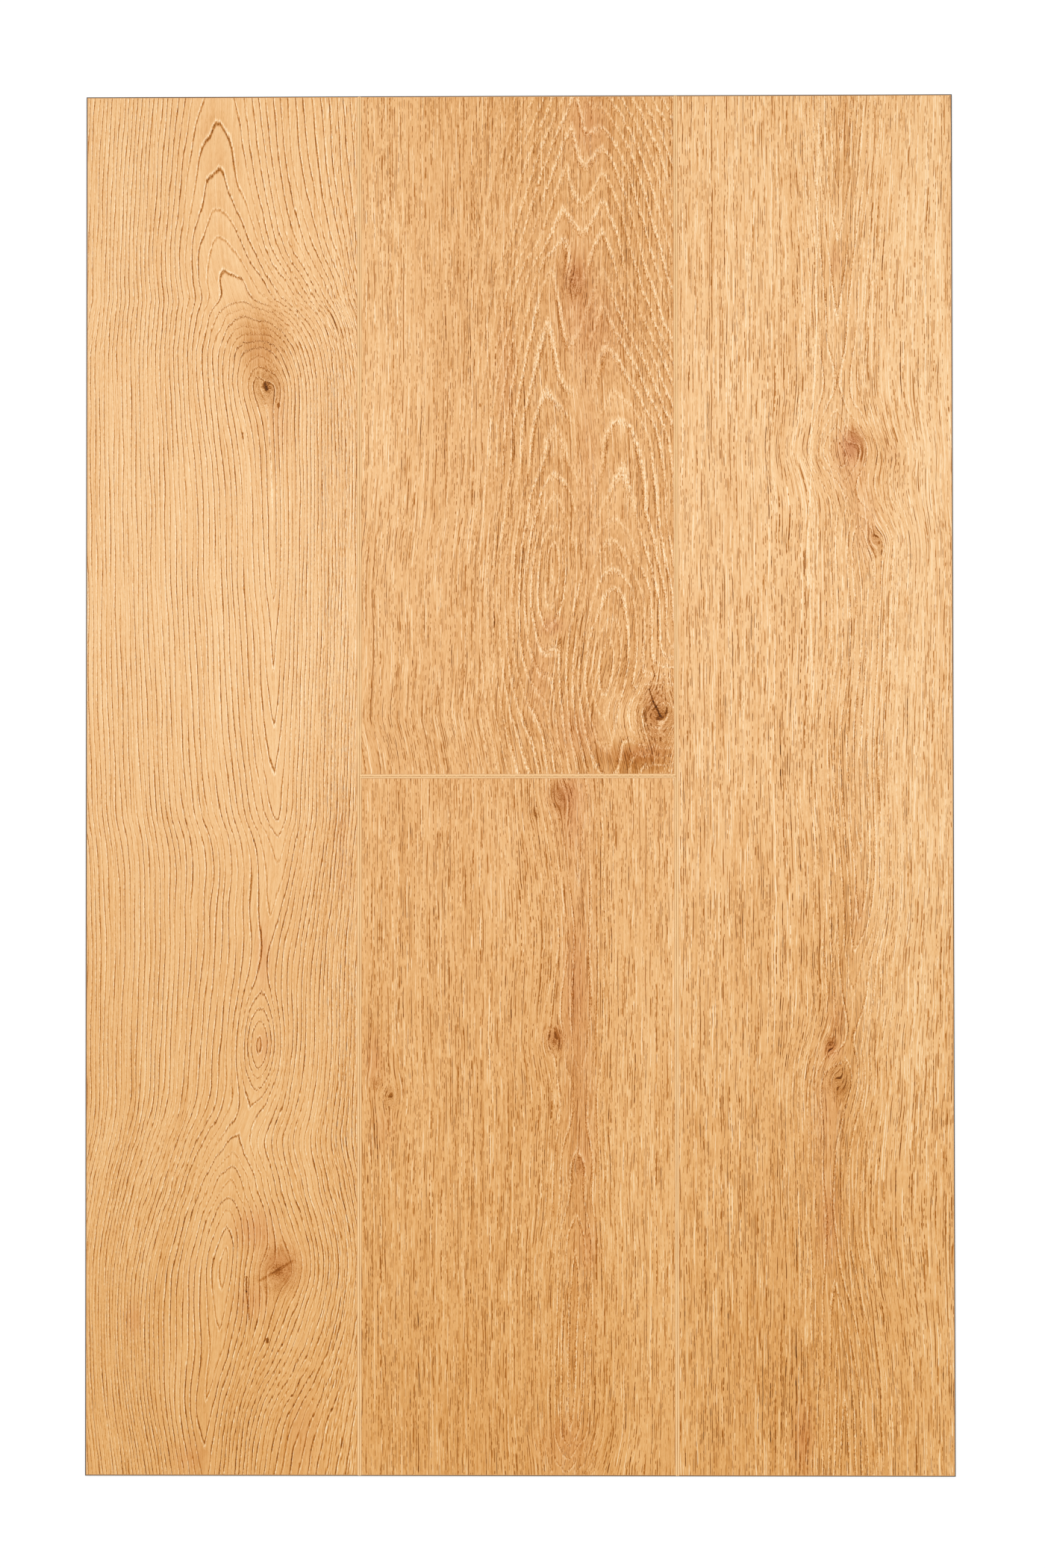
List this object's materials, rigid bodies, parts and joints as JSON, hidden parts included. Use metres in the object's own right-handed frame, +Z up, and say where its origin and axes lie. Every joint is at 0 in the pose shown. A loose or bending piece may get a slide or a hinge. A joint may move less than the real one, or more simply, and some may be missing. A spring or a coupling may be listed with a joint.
{
  "type": "vinyl floor plank panel",
  "caption": "Flat rectangular panel of vinyl floor planks clicked together side by side, with an oak-grain printed face, bevelled joints and trimmed dark edges; covers or samples a floor.",
  "frame": {"origin": "middle of the underside, on the surface that the panel lies on", "axes": "+Z up out of the printed face, +Y along the planks and their grain, +X across them"},
  "size_m": [0.627, 0.997, 0.005],
  "materials": {
    "oak_print_vinyl": "matte"
  },
  "bodies": {
    "root": {"left_plank": "oak_print_vinyl", "upper_middle_plank": "oak_print_vinyl", "lower_middle_plank": "oak_print_vinyl", "right_plank": "oak_print_vinyl"}
  },
  "joints": []
}
